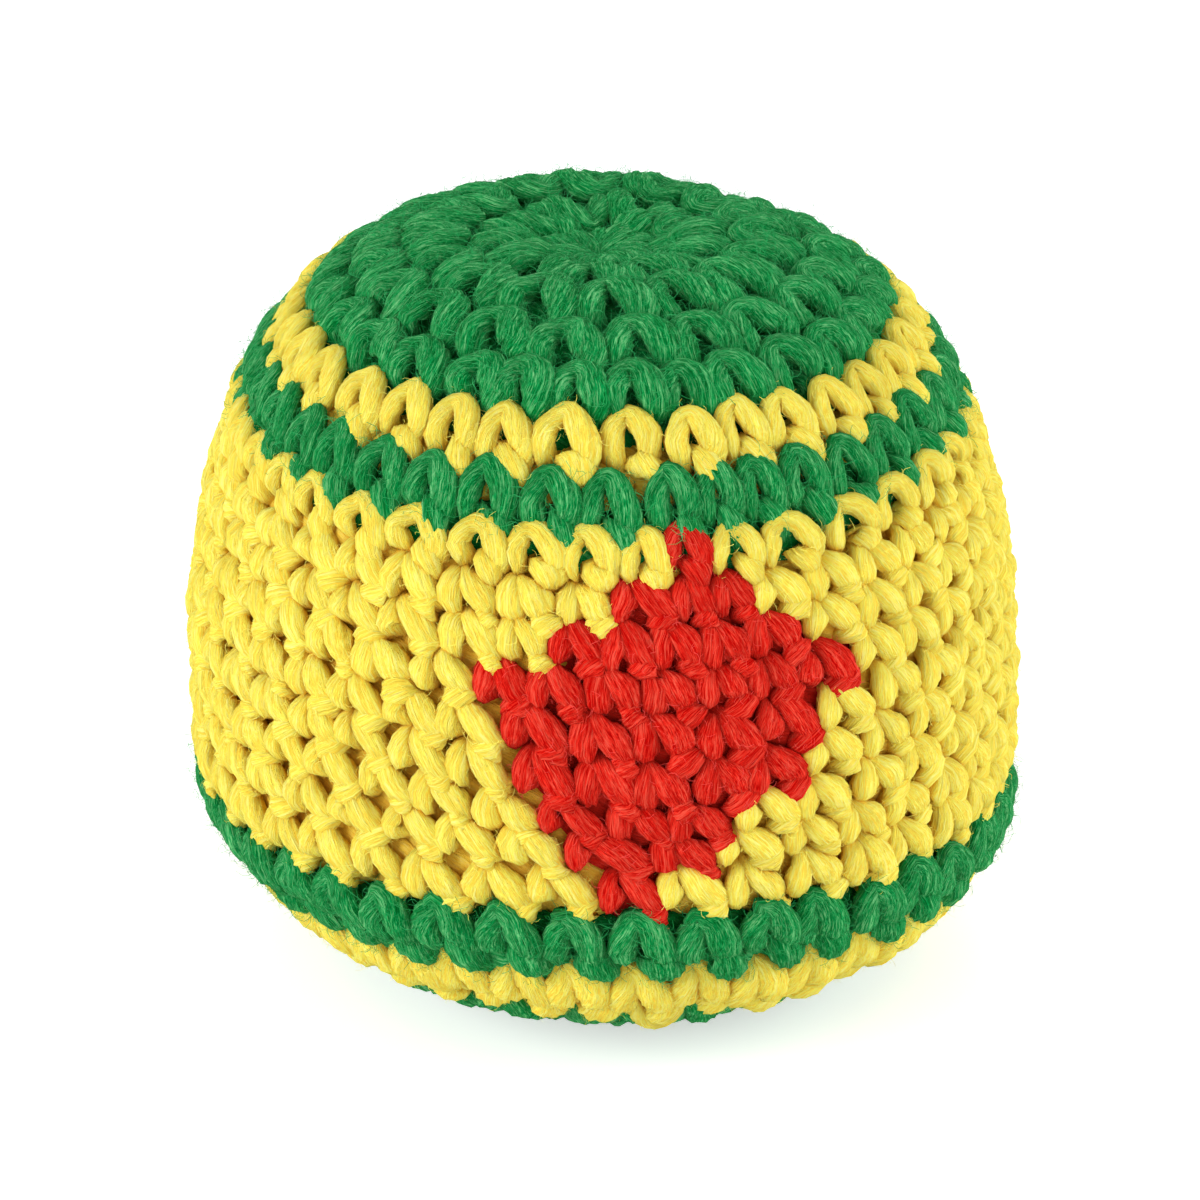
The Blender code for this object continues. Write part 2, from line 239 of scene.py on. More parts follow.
# How a loose fibre bends: the middle control point and the end, in fibre lengths, along, across and outward.
FIBRE_BENDS = (
    ((0.45, 0.0, 0.34), (0.95, 0.1, 0.05)),
    ((0.5, 0.3, 0.16), (0.8, -0.3, 0.2)),
    ((0.3, -0.2, 0.36), (0.7, 0.35, 0.22)),
    ((0.6, 0.1, 0.14), (0.5, 0.6, 0.06)),
)

# Where the rounds of a style are sunk: at which measured angle, how deep in millimetres and how wide, in radians.
DENTS = (
    ("crown", 160.0, 0.2, 1.0),
    ("crown", 138.0, 0.45, 0.35),
    ("crown", -132.0, 0.2, 0.5),
    ("ring", -140.0, -0.2, 0.4),
    ("ring", 163.0, -0.5, 0.12),
)

# Loops that hang out of their round: the round, the yarn's piece, and the path as in the tables above.
LOOPS = (
    (
        "lower_yellow_stripe",
        "lower_yellow_stripe",
        (
            (0.00, 0.60, -0.60, 0.45, 2),
            (0.06, 0.85, 0.60, 0.55, 2),
            (0.18, 1.08, 1.10, 0.62, 2),
            (0.45, 1.20, 1.30, 0.66, 2),
            (0.72, 1.08, 1.10, 0.62, 2),
            (0.84, 0.85, 0.60, 0.55, 2),
            (0.90, 0.60, -0.60, 0.45, 2),
        ),
    ),
)

# Below the front diamond the rounds sag: how far, at which measured angle and how wide, in radians, and how far
# down the outline and over what reach.
SAG = 1.2 * MM
SAG_ANGLE = 9.0
SAG_WIDTH = 0.4
SAG_ALONG = 44.0 * MM
SAG_REACH = 5.5 * MM

# At the bag's sides the lower rounds hang lower than in front: how far, from how far down the outline, and over
# what distance it sets in.
DROOP = 2.0 * MM
DROOP_ALONG = 36.0 * MM
DROOP_REACH = 12.0 * MM

# The camera: its height above level, its distance from the point that it looks past, and that point's height.
CAMERA_ELEVATION = math.radians(25.7)
CAMERA_DISTANCE = 0.243
CAMERA_AIM = 0.0251
CAMERA_SENSOR = 36.0
CAMERA_LENS = 111.5
# The photo's frame is centred a little below and left of the bag's middle, with its right side low.
CAMERA_TILT = (math.radians(-0.348), math.radians(0.051), math.radians(0.74))

# Each lamp's name, place, size and power, and the height that they are aimed at.
LAMPS = (
    ("key", (-0.58, -0.22, 0.30), 0.35, 3.4),
    ("fill", (0.58, -0.15, 0.25), 0.45, 2.6),
    ("front", (0.1, -0.6, 0.1), 0.35, 0.8),
    ("rim", (0.1, 0.55, 0.5), 0.4, 1.2),
)
LAMP_AIM = 0.022
WORLD_LIGHT = 0.5

# The floor's half side, and how much it glows to the camera alone, so that it shows as white.
FLOOR_REACH = 1.2
FLOOR_GLOW = 0.46


def linear(hex_colour):
    """Linear RGBA of an sRGB hex colour."""
    channels = [int(hex_colour[i : i + 2], 16) / 255 for i in (1, 3, 5)]
    return (*[c / 12.92 if c <= 0.04045 else ((c + 0.055) / 1.055) ** 2.4 for c in channels], 1.0)


def length(name, default, description):
    """A length property in metres."""
    return FloatProperty(
        name=name, default=default, description=description, min=0.0, precision=5, unit="LENGTH", subtype="DISTANCE"
    )


def share(name, default, description):
    """A property from 0 to 1."""
    return FloatProperty(name=name, default=default, description=description, min=0.0, max=1.0, subtype="FACTOR")


def colour(name, hex_colour, description):
    """A colour property."""
    return FloatVectorProperty(
        name=name, default=linear(hex_colour), description=description, size=4, min=0.0, max=1.0, subtype="COLOR"
    )


class FOOTBAG_PG_sizes(bpy.types.PropertyGroup):
    """Sizes of the bag and its yarn."""

    diameter: length("Bag diameter", 0.0547, "Across the widest stitches")
    crown_height: length("Crown height", 0.0505, "From the rest plane to the rim of the crown's dimple")
    dimple_depth: length("Dimple depth", 0.0028, "How far the crown's middle is sunk")
    dimple_radius: length("Dimple radius", 0.0074, "How wide the crown's dimple is")
    belly_height: length("Belly height", 0.0166, "Height of the widest round")
    rest_depth: length("Rest depth", 0.0005, "How far the base is pressed flat by its own weight")
    corner_reach: share("Corner reach", 0.765, "How square the outline is between crown and belly")
    lower_reach: share("Lower corner reach", 0.757, "How square the outline is between belly and base")
    lean: share("Lean", 0.016, "How far the crown leans to one side, as a share of its height")
    sway: length("Sway", 0.00075, "How far the lower stripes and the base stand to one side")
    sway_height: length("Sway height", 0.0128, "Height above which nothing is shifted so")
    sway_reach: length("Sway reach", 0.0026, "Height over which the sway sets in")
    yarn_rise: length("Yarn rise", 0.00135, "How far the yarn's middle line stands inside the outline")
    yarn_flatness: share("Yarn flatness", 0.8, "Thickness of the yarn as a share of its width")
    inner_flatness: share("Inner flatness", 0.45, "Thickness of the yarn behind the stitches as a share of its width")
    ply_depth: share("Ply depth", 0.2, "Depth of the grooves between strands")
    ply_twist: FloatProperty(name="Ply twist", default=70.0, description="Turns of the strands in a metre of yarn")
    plies: IntProperty(name="Strands", default=10, min=2, description="Strands around the yarn, two sides to each")
    unevenness: share("Unevenness", 0.05, "How far stitches stray from their places, in stitch widths")
    fibre_length: length("Fibre length", 0.0010, "Length of a loose fibre")
    short_fibres: length("Short fibre length", 0.0006, "Length of a loose fibre of yellow and red yarn")
    fibre_width: length("Fibre width", 0.000018, "Thickness of a loose fibre")
    green_fibres: FloatProperty(name="Green fibres", default=7.0, description="Loose fibres per mm2 of green yarn")
    other_fibres: FloatProperty(name="Other fibres", default=2.5, description="Loose fibres per mm2 of other yarn")
    lining_depth: length("Lining depth", 0.0021, "How deep the lining lies under the outline")
    pellet_size: length("Pellet size", 0.0033, "Diameter of a filling pellet")
    thread_width: length("Thread width", 0.0008, "Thickness of the thread round the lining's neck")


class FOOTBAG_PG_colours(bpy.types.PropertyGroup):
    """Colours of the bag's materials."""

    green: colour("Green yarn", "#0A9C4E", "Green acrylic yarn")
    yellow: colour("Yellow yarn", "#F8EE5C", "Yellow acrylic yarn")
    red: colour("Red yarn", "#E82E20", "Red acrylic yarn")
    lining: colour("Lining", "#6A5A2C", "Brown cotton lining")
    thread: colour("Tie thread", "#D8D2C0", "Undyed polyester thread")
    pellets: colour("Pellets", "#D9D9D4", "Polypropylene pellets")


class Outline:
    """The bag's outline from the middle of the crown to the middle of the base, by the distance along it."""

    def __init__(self, sizes):
        turn = np.linspace(0, math.pi, 4001)
        upper, lower = -2 * math.log2(sizes.corner_reach), -2 * math.log2(sizes.lower_reach)
        power = np.where(turn <= math.pi / 2, upper, lower)
        rise = sizes.yarn_rise
        belly = sizes.diameter / 2 - rise
        self.radius = belly * np.abs(np.sin(turn)) ** power
        reach = np.abs(np.cos(turn)) ** power
        dimple = sizes.dimple_depth * np.exp(-((self.radius / sizes.dimple_radius) ** 2))
        above = sizes.belly_height + (sizes.crown_height - rise - sizes.belly_height) * reach - dimple
        below = sizes.belly_height - (sizes.belly_height + sizes.rest_depth - rise) * reach
        self.height = np.where(turn <= math.pi / 2, above, np.maximum(below, rise))
        steps = np.hypot(np.diff(self.radius), np.diff(self.height))
        self.along = np.concatenate([[0.0], np.cumsum(steps)])
        self.total = self.along[-1]
        even = np.linspace(0, self.total, OUTLINE_STEPS)
        self.radius = np.interp(even, self.along, self.radius)
        self.height = np.interp(even, self.along, self.height)
        self.along = even
        run, fall = np.gradient(self.radius, even), np.gradient(self.height, even)
        smooth = np.ones(2 * SMOOTHING + 1) / (2 * SMOOTHING + 1)
        run, fall = (np.convolve(np.pad(v, SMOOTHING, mode="edge"), smooth, mode="valid") for v in (run, fall))
        size = np.hypot(run, fall)
        self.out_radius, self.out_height = -fall / size, run / size
        self.sizes = sizes

    def place(self, along, angle, lift):
        """Points and outward directions, for distances along the outline, angles and lifts above it."""
        radius = np.interp(along, self.along, self.radius)
        height = np.interp(along, self.along, self.height)
        out_radius = np.interp(along, self.along, self.out_radius)
        out_height = np.interp(along, self.along, self.out_height)
        radius, height = radius + out_radius * lift, height + out_height * lift
        side, front = np.sin(angle), -np.cos(angle)
        sizes = self.sizes
        shift = sizes.sway * np.clip((sizes.sway_height - height) / sizes.sway_reach, 0, 1)
        shift = shift - sizes.lean * (height - sizes.crown_height / 2)
        points = np.stack([radius * side + shift, radius * front, height], axis=-1)
        return points, np.stack([out_radius * side, out_radius * front, out_height], axis=-1)


def stitch_path(style):
    """Control points of one stitch in this style."""
    ends = {"L": style.left, "R": style.right}
    arch = [
        (ends[across[0]] + across[1] if isinstance(across, tuple) else across, *rest) for across, *rest in ARCH_PATH
    ]
    path = (1 - style.arch) * np.array(TIGHT_PATH, float) + style.arch * np.array(arch, float)
    path[:, 4] = [rings for *_, rings in (ARCH_PATH if style.arch > 0.5 else TIGHT_PATH)]
    path[:, 3] *= style.width
    path[:, 1] -= style.rise * np.clip(1 - path[:, 1] * 1.2, 0, 1)
    path[FOOT, 2] -= style.sink
    return path


def stitch_angles(this):
    """Each stitch's angle in radians: the measured ones, and the others spread evenly between them."""
    known = sorted(this.angles)
    places = [k for k, _ in known] + [known[0][0] + this.stitches]
    angles = [a for _, a in known] + [known[0][1] + 360]
    every = np.arange(known[0][0], known[0][0] + this.stitches)
    found = np.interp(every, places, angles)
    order = np.argsort(every % this.stitches)
    turns = np.floor_divide(every, this.stitches)[order]
    return np.radians(found[order] - 360.0 * turns + SIGHT_LINE)


def splined(points, rings):
    """A smooth line through the points, with so many rings between each and the next."""
    before, after = np.vstack([points[:1], points[:-1]]), np.vstack([points[1:], points[-1:]])
    last = np.vstack([after[1:], after[-1:]])
    out = []
    for i in range(len(points) - 1):
        a, b, c, d = before[i], points[i], after[i], last[i]
        for step in range(int(rings[i])):
            t = step / rings[i]
            out.append(
                0.5 * (2 * b + (c - a) * t + (2 * a - 5 * b + 4 * c - d) * t**2 + (3 * b - a - 3 * c + d) * t**3)
            )
    out.append(points[-1])
    return np.array(out)


def stitch_colours(row, stitches):
    """The yarn of each stitch of band round row, as the name of the diamond it belongs to, or yellow."""
    first, last = DIAMOND_ROWS[row]
    names = ["yellow"] * stitches
    for name, place in DIAMONDS.items():
        for k in range(first, last + 1):
            names[(place * DIAMOND_STEP + k) % stitches] = name
    return names


def away(angle, place):
    """How far the angles are from a measured angle, in radians."""
    return (angle - math.radians(SIGHT_LINE + place) + math.pi) % math.tau - math.pi


def settled(along, angle, lift, style, total, scale):
    """The distances along the outline and the lifts after the bag has sagged, drooped and sunk in."""
    reach = np.minimum((along / scale - DROOP_ALONG) / DROOP_REACH, (total - along) / DROOP_REACH)
    along = along + DROOP * np.sin(away(angle, 0)) ** 2 * np.clip(reach, 0, 1)
    off = (away(angle, SAG_ANGLE) / SAG_WIDTH) ** 2
    along = along + SAG * np.exp(-off - ((along / scale - SAG_ALONG) / SAG_REACH) ** 2)
    for name, place, depth, width in DENTS:
        if style is STYLES[name]:
            lift = lift - depth * np.exp(-((away(angle, place) / width) ** 2))
    return np.clip(along, 0.0002, total - 0.0002), lift


def yarn_runs(sizes):
    """Every run of yarn as (piece name, points, outward, half width, flatness, lift)."""
    outline = Outline(sizes)
    rng = np.random.default_rng(STITCH_SEED)
    scale = outline.total / sum(r.height for r in ROUNDS)
    backing, between = np.array(BACKING_PATH, float), np.array(BETWEEN_PATH, float)
    top, runs, band = 0.0, [], 0
    for this in ROUNDS:
        count = this.stitches
        style = STYLES[this.style]
        path = stitch_path(style)
        names = [this.node] * count
        if this.node.startswith("band"):
            names = [this.node if n == "yellow" else n for n in stitch_colours(band, count)]
            band += 1
        height = this.height * scale
        angles = stitch_angles(this)
        angles = np.concatenate([[angles[-1] - math.tau], angles, angles + math.tau, angles[:2] + 2 * math.tau])
        stray = rng.normal(0, sizes.unevenness, (count, 4))
        wander = rng.normal(0, sizes.unevenness * WANDER, (count, len(path), 2))
        holes = rng.random(count) < HOLE_SHARE
        starts = [i for i in range(count) if names[i] != names[i - 1]] or [0]
        behind_shift = np.array([0, BEHIND_DROP * (style.arch - style.rise), 0, 0])
        below_shift = style.arch * np.array([0, BELOW_DROP, BELOW_LIFT, 0])
        strands = []
        for begin, end in zip(starts, starts[1:] + [starts[0] + count]):
            front, behind, below = [], [], []
            for i in range(begin, end):
                one = path[:, :4].copy()
                one[:, :2] += wander[i % count] + stray[i % count, :2] * [1, STRAY_DOWN]
                one[:, 2] += style.lift + stray[i % count, 2] * STRAY_OUT
                one[:, 3] *= 1 + stray[i % count, 3]
                front.append(one + [i, 0, 0, 0])
                behind.append(backing[:, :4] + behind_shift + [i, 0, 0, 0])
                below.append(between[:, :4] + below_shift + [i, 0, 0, 0])
                if holes[(i + 1) % count]:
                    below[-1][0, 2] -= HOLE_DEPTH
            behind.append(backing[:1, :4] + behind_shift + [end, 0, 0, 0])
            below.append(between[:1, :4] + below_shift + [end, 0, 0, 0])
            for part in behind + below:
                part[:, 3] *= height / MM
            for parts, table, flat in (
                (front, path, sizes.yarn_flatness),
                (behind, backing, sizes.inner_flatness),
                (below, between, sizes.inner_flatness),
            ):
                rings = np.append(np.tile(table[:, 4], end - begin), 1)
                strands.append((names[begin % count], np.concatenate(parts), rings, flat))
        for node, name, table in LOOPS:
            if node == this.node:
                loop = np.array(table)
                strands.append((name, loop[:, :4], loop[:, 4], sizes.yarn_flatness))
        for name, controls, rings, flat in strands:
            u, v, z, w = splined(controls, rings).T
            angle = np.interp(u, np.arange(-1, 2 * count + 2), angles)
            along, z = settled(top + v * height, angle, z, style, outline.total, scale)
            lift = np.clip(z, *LIFT_RANGE) * MM
            points, outward = outline.place(along, angle, lift)
            width = np.clip(w, *WIDTH_RANGE) * MM
            reach = width * np.hypot(flat * outward[:, 2], np.hypot(outward[:, 0], outward[:, 1]))
            points[:, 2] = np.maximum(points[:, 2], reach + FLOOR_GAP)
            runs.append((name, points, outward, width, np.full(len(u), flat), lift))
        top += height
    return runs


def linked(name, data):
    """A new object in the scene."""
    made = bpy.data.objects.new(name, data)
    bpy.context.scene.collection.objects.link(made)
    return made


def path_object(name, runs):
    """An object whose mesh is the runs' middle lines, with the sweep's sizes as attributes."""
    points = np.concatenate([r[1] for r in runs])
    sizes = [len(r[1]) for r in runs]
    starts = np.cumsum([0] + sizes[:-1])
    edges = np.concatenate([np.stack([np.arange(n - 1), np.arange(1, n)], 1) + s for n, s in zip(sizes, starts)])
    mesh = bpy.data.meshes.new(name)
    mesh.from_pydata(points.tolist(), edges.tolist(), [])
    along = np.concatenate(
        [np.concatenate([[0.0], np.cumsum(np.linalg.norm(np.diff(r[1], axis=0), axis=1))]) for r in runs]
    )
    values = {
        "yarn_centre": points,
        "yarn_outward": np.concatenate([r[2] for r in runs]),
        "yarn_radius": np.concatenate([r[3] for r in runs]),
        "yarn_flatness": np.concatenate([r[4] for r in runs]),
        "yarn_lift": np.concatenate([r[5] for r in runs]),
        "yarn_along": along,
        "yarn_seed": np.repeat(np.arange(len(runs)), sizes) * 0.37 + len(name),
    }
    for key, value in values.items():
        kind = "FLOAT_VECTOR" if value.ndim == 2 else "FLOAT"
        attribute = mesh.attributes.new(key, kind, "POINT")
        attribute.data.foreach_set("vector" if value.ndim == 2 else "value", value.astype(np.float32).ravel())
    return linked(name, mesh)


def add_node(tree, kind, inputs=None, **settings):
    """A node with its settings, each input set to a value or linked from a socket."""
    node = tree.nodes.new(kind)
    for name, value in settings.items():
        setattr(node, name, value)
    for key, value in (inputs or {}).items():
        if isinstance(value, bpy.types.NodeSocket):
            tree.links.new(value, node.inputs[key])
        else:
            node.inputs[key].default_value = value
    return node


def maths(tree, operation, *values):
    """The result of a Math node."""
    return add_node(tree, "ShaderNodeMath", dict(enumerate(values)), operation=operation).outputs[0]


def vectors(tree, operation, *values):
    """The result of a Vector Math node."""
    node = add_node(tree, "ShaderNodeVectorMath", dict(enumerate(values)), operation=operation)
    return node.outputs["Value" if operation == "DOT_PRODUCT" else "Vector"]


def scaled(tree, vector, factor):
    """The vector times the factor."""
    node = add_node(tree, "ShaderNodeVectorMath", {0: vector, "Scale": factor}, operation="SCALE")
    return node.outputs["Vector"]


def attribute(tree, name, data_type="FLOAT"):
    """A named attribute's value."""
    return add_node(tree, "GeometryNodeInputNamedAttribute", {"Name": name}, data_type=data_type).outputs[0]


def stored(tree, geometry, name, value, data_type="FLOAT"):
    """The geometry with a value stored on its points."""
    inputs = {"Geometry": geometry, "Name": name, "Value": value}
    node = add_node(tree, "GeometryNodeStoreNamedAttribute", inputs, data_type=data_type, domain="POINT")
    return node.outputs[0]


def new_tree(name, **inputs):
    """A Geometry Nodes group with these inputs after its geometry, and the group's input node."""
    tree = bpy.data.node_groups.new(name, "GeometryNodeTree")
    tree.interface.new_socket("Geometry", in_out="INPUT", socket_type="NodeSocketGeometry")
    tree.interface.new_socket("Geometry", in_out="OUTPUT", socket_type="NodeSocketGeometry")
    for label, kind in inputs.items():
        tree.interface.new_socket(label.replace("_", " "), in_out="INPUT", socket_type=kind)
    return tree, tree.nodes.new("NodeGroupInput")


def finish_tree(tree, geometry, material):
    """Ends the tree in Realize Instances and Set Material."""
    realized = add_node(tree, "GeometryNodeRealizeInstances", {"Geometry": geometry}).outputs[0]
    painted = add_node(tree, "GeometryNodeSetMaterial", {"Geometry": realized, "Material": material}).outputs[0]
    out = tree.nodes.new("NodeGroupOutput")
    tree.links.new(painted, out.inputs[0])


def yarn_tree():
    """Sweeps yarn along the edges of a mesh: a flattened bundle of twisted strands."""
    tree, given = new_tree(
        "Spun yarn",
        Strands="NodeSocketFloat",
        Groove_depth="NodeSocketFloat",
        Twist="NodeSocketFloat",
        Sides="NodeSocketInt",
        Material="NodeSocketMaterial",
    )
    inputs = given.outputs
    curve = add_node(tree, "GeometryNodeMeshToCurve", {"Mesh": inputs["Geometry"]}).outputs[0]
    outward = attribute(tree, "yarn_outward", "FLOAT_VECTOR")
    facing = add_node(tree, "GeometryNodeSetCurveNormal", {"Curve": curve, "Normal": outward}, mode="FREE").outputs[0]
    roll = maths(tree, "MULTIPLY", maths(tree, "MULTIPLY", attribute(tree, "yarn_along"), inputs["Twist"]), math.tau)
    turned = add_node(tree, "GeometryNodeSetCurveTilt", {"Curve": facing, "Tilt": roll}).outputs[0]
    circle = add_node(tree, "GeometryNodeCurvePrimitiveCircle", {"Resolution": inputs["Sides"], "Radius": 1.0})
    around = add_node(tree, "GeometryNodeSplineParameter").outputs["Factor"]
    profile = stored(tree, circle.outputs["Curve"], "yarn_around", around)
    swept = add_node(
        tree,
        "GeometryNodeCurveToMesh",
        {
            "Curve": turned,
            "Profile Curve": profile,
            "Scale": attribute(tree, "yarn_radius"),
            "Fill Caps": True,
        },
    ).outputs[0]
    centre = attribute(tree, "yarn_centre", "FLOAT_VECTOR")
    position = add_node(tree, "GeometryNodeInputPosition").outputs[0]
    offset = vectors(tree, "SUBTRACT", position, centre)
    normal = attribute(tree, "yarn_outward", "FLOAT_VECTOR")
    up = vectors(tree, "DOT_PRODUCT", offset, normal)
    squeeze = maths(tree, "SUBTRACT", attribute(tree, "yarn_flatness"), 1.0)
    flat = vectors(tree, "ADD", offset, scaled(tree, normal, maths(tree, "MULTIPLY", up, squeeze)))
    angle = maths(tree, "MULTIPLY", attribute(tree, "yarn_around"), math.tau)
    half_turns = maths(tree, "MULTIPLY", angle, maths(tree, "MULTIPLY", inputs["Strands"], 0.5))
    wave = maths(tree, "ABSOLUTE", maths(tree, "SINE", half_turns))
    fibre = add_node(
        tree,
        "ShaderNodeCombineXYZ",
        {
            "X": maths(tree, "COSINE", angle),
            "Y": maths(tree, "SINE", angle),
            "Z": maths(tree, "MULTIPLY", attribute(tree, "yarn_along"), 1 / MM),
        },
    ).outputs[0]
    uneven = add_node(
        tree,
        "ShaderNodeTexNoise",
        {
            "Vector": vectors(tree, "MULTIPLY", fibre, (1.0, 1.0, 0.3)),
            "W": attribute(tree, "yarn_seed"),
            "Scale": 1.7,
            "Detail": 1.0,
        },
        noise_dimensions="4D",
    ).outputs[0]
    strength = add_node(tree, "ShaderNodeMapRange", {"Value": uneven, "From Min": 0.35, "From Max": 0.65}).outputs[0]
    hollow = maths(tree, "MULTIPLY", maths(tree, "SUBTRACT", 1.0, wave), strength)
    groove = maths(tree, "MULTIPLY", hollow, inputs["Groove depth"])
    grooved = scaled(tree, flat, maths(tree, "SUBTRACT", 1.0, groove))
    moved = add_node(
        tree, "GeometryNodeSetPosition", {"Geometry": swept, "Position": vectors(tree, "ADD", centre, grooved)}
    ).outputs[0]
    kept = stored(tree, moved, "fibre", fibre, "FLOAT_VECTOR")
    # The height above the outline, in millimetres, and the crest, 1 on a strand and lower in the grooves between
    # strands, are kept for the yarn material's painted shade; the height also tells where loose fibres grow.
    own_up = vectors(tree, "DOT_PRODUCT", vectors(tree, "SUBTRACT", position, centre), normal)
    height = maths(tree, "MULTIPLY", maths(tree, "ADD", own_up, attribute(tree, "yarn_lift")), 1 / MM)
    kept = stored(tree, kept, "height", height)
    kept = stored(tree, kept, "crest", maths(tree, "SUBTRACT", 1.0, hollow))
    for name in ("yarn_centre", "yarn_radius", "yarn_flatness", "yarn_lift", "yarn_around", "yarn_along"):
        kept = add_node(tree, "GeometryNodeRemoveAttribute", {"Geometry": kept, "Name": name}).outputs[0]
    smooth = add_node(tree, "GeometryNodeSetShadeSmooth", {"Geometry": kept}).outputs[0]
    finish_tree(tree, smooth, inputs["Material"])
    return tree


def fuzz_tree():
    """Grows loose fibres on the outer side of yarn."""
    tree, given = new_tree(
        "Loose fibres",
        Density="NodeSocketFloat",
        Fibre_length="NodeSocketFloat",
        Fibre_width="NodeSocketFloat",
        Lowest="NodeSocketFloat",
        Seed="NodeSocketInt",
        Material="NodeSocketMaterial",
    )
    inputs = given.outputs
    above = maths(tree, "GREATER_THAN", attribute(tree, "height"), inputs["Lowest"])
    place = add_node(tree, "GeometryNodeInputPosition").outputs[0]
    level = add_node(tree, "ShaderNodeSeparateXYZ", {0: place}).outputs["Z"]
    clear = maths(tree, "GREATER_THAN", level, maths(tree, "MULTIPLY", inputs["Fibre length"], 1.6))
    outer = maths(tree, "MULTIPLY", above, clear)
    scattered = add_node(
        tree,
        "GeometryNodeDistributePointsOnFaces",
        {"Mesh": inputs["Geometry"], "Selection": outer, "Density": inputs["Density"], "Seed": inputs["Seed"]},
    )
    half = maths(tree, "DIVIDE", inputs["Fibre width"], maths(tree, "MULTIPLY", inputs["Fibre length"], 2.0))
    ends = [
        add_node(tree, "ShaderNodeCombineXYZ", {"X": side}).outputs[0]
        for side in (half, maths(tree, "MULTIPLY", half, -1.0))
    ]
    ribbon = add_node(tree, "GeometryNodeCurvePrimitiveLine", {"Start": ends[0], "End": ends[1]}).outputs[0]
    shapes = []
    for bend, end in FIBRE_BENDS:
        line = add_node(
            tree,
            "GeometryNodeCurveQuadraticBezier",
            {"Resolution": 2, "Start": (0, 0, -0.05), "Middle": bend, "End": end},
        ).outputs[0]
        strip = add_node(tree, "GeometryNodeCurveToMesh", {"Curve": line, "Profile Curve": ribbon}).outputs[0]
        shapes.append(add_node(tree, "GeometryNodeGeometryToInstance", {"Geometry": strip}).outputs[0])
    joined = add_node(tree, "GeometryNodeJoinGeometry")
    for shape in shapes:
        tree.links.new(shape, joined.inputs[0])
    spin = add_node(
        tree,
        "FunctionNodeRandomValue",
        {0: (-0.5, -0.5, -3.1416), 1: (0.5, 0.5, 3.1416), "Seed": inputs["Seed"]},
        data_type="FLOAT_VECTOR",
    ).outputs[0]
    turned = add_node(
        tree,
        "FunctionNodeRotateRotation",
        {0: scattered.outputs["Rotation"], 1: spin},
        rotation_space="LOCAL",
    ).outputs[0]
    stretch = add_node(
        tree, "FunctionNodeRandomValue", {2: 0.45, 3: 1.5, "Seed": inputs["Seed"]}, data_type="FLOAT"
    ).outputs[1]
    which = add_node(
        tree, "FunctionNodeRandomValue", {4: 0, 5: len(FIBRE_BENDS) - 1, "Seed": inputs["Seed"]}, data_type="INT"
    ).outputs[2]
    fibres = add_node(
        tree,
        "GeometryNodeInstanceOnPoints",
        {
            "Points": scattered.outputs["Points"],
            "Instance": joined.outputs[0],
            "Pick Instance": True,
            "Instance Index": which,
            "Rotation": turned,
            "Scale": maths(tree, "MULTIPLY", inputs["Fibre length"], stretch),
        },
    ).outputs[0]
    finish_tree(tree, fibres, inputs["Material"])
    return tree


def pellet_tree():
    """Sets a pellet on each point of a mesh."""
    tree, given = new_tree(
        "Pellets", Pellet_size="NodeSocketFloat", Seed="NodeSocketInt", Material="NodeSocketMaterial"
    )
    inputs = given.outputs
    ball = add_node(
        tree,
        "GeometryNodeMeshUVSphere",
        {"Segments": PELLET_SEGMENTS, "Rings": PELLET_RINGS, "Radius": maths(tree, "MULTIPLY", inputs["Pellet size"], 0.5)},
    ).outputs["Mesh"]
    points = add_node(tree, "GeometryNodeMeshToPoints", {"Mesh": inputs["Geometry"]}).outputs[0]
    spin = add_node(
        tree, "FunctionNodeRandomValue", {1: (6.28, 6.28, 6.28), "Seed": inputs["Seed"]}, data_type="FLOAT_VECTOR"
    ).outputs[0]
    shape = add_node(
        tree,
        "FunctionNodeRandomValue",
        {0: (0.8, 0.8, 0.6), 1: (1.0, 1.0, 0.8), "Seed": inputs["Seed"]},
        data_type="FLOAT_VECTOR",
    ).outputs[0]
    placed = add_node(
        tree, "GeometryNodeInstanceOnPoints", {"Points": points, "Instance": ball, "Rotation": spin, "Scale": shape}
    ).outputs[0]
    finish_tree(tree, placed, inputs["Material"])
    return tree


def grown(source, name, tree, settings):
    """A plain mesh object from the source mesh and a Geometry Nodes tree with these input values."""
    modifier = source.modifiers.new(tree.name, "NODES")
    modifier.node_group = tree
    sockets = {
        item.name: item.identifier for item in tree.interface.items_tree if getattr(item, "in_out", "") == "INPUT"
    }
    for label, value in settings.items():
        modifier[sockets[label]] = value
    evaluated = source.evaluated_get(bpy.context.evaluated_depsgraph_get())
    mesh = bpy.data.meshes.new_from_object(evaluated)
    source.modifiers.remove(modifier)
    mesh.name = name
    if not len(mesh.polygons):
        raise RuntimeError(f"{name}: the nodes made no faces")
    return linked(name, mesh)


def dropped(*objects):
    """Removes helper objects and their meshes."""
    for obj in objects:
        mesh = obj.data
        bpy.data.objects.remove(obj)
        bpy.data.meshes.remove(mesh)


def node_tree(name, builder):
    """The named node group, built once."""
    return bpy.data.node_groups.get(name) or builder()


def material(name):
    """A new material and its empty node tree."""
    made = bpy.data.materials.new(name)
    made.use_nodes = True
    tree = made.node_tree
    tree.nodes.clear()
    return made, tree


def finish_shader(tree, surface, kind="ShaderNodeOutputMaterial"):
    """Links the surface to the tree's output."""
    tree.links.new(surface, tree.nodes.new(kind).inputs["Surface"])


def ramp(tree, factor, *stops):
    """A colour ramp of (place, colour) stops."""
    node = add_node(tree, "ShaderNodeValToRGB", {"Fac": factor})
    for _ in range(len(stops) - 2):
        node.color_ramp.elements.new(0.5)
    for element, (place, value) in zip(node.color_ramp.elements, stops):
        element.position, element.color = place, value
    return node.outputs["Color"]


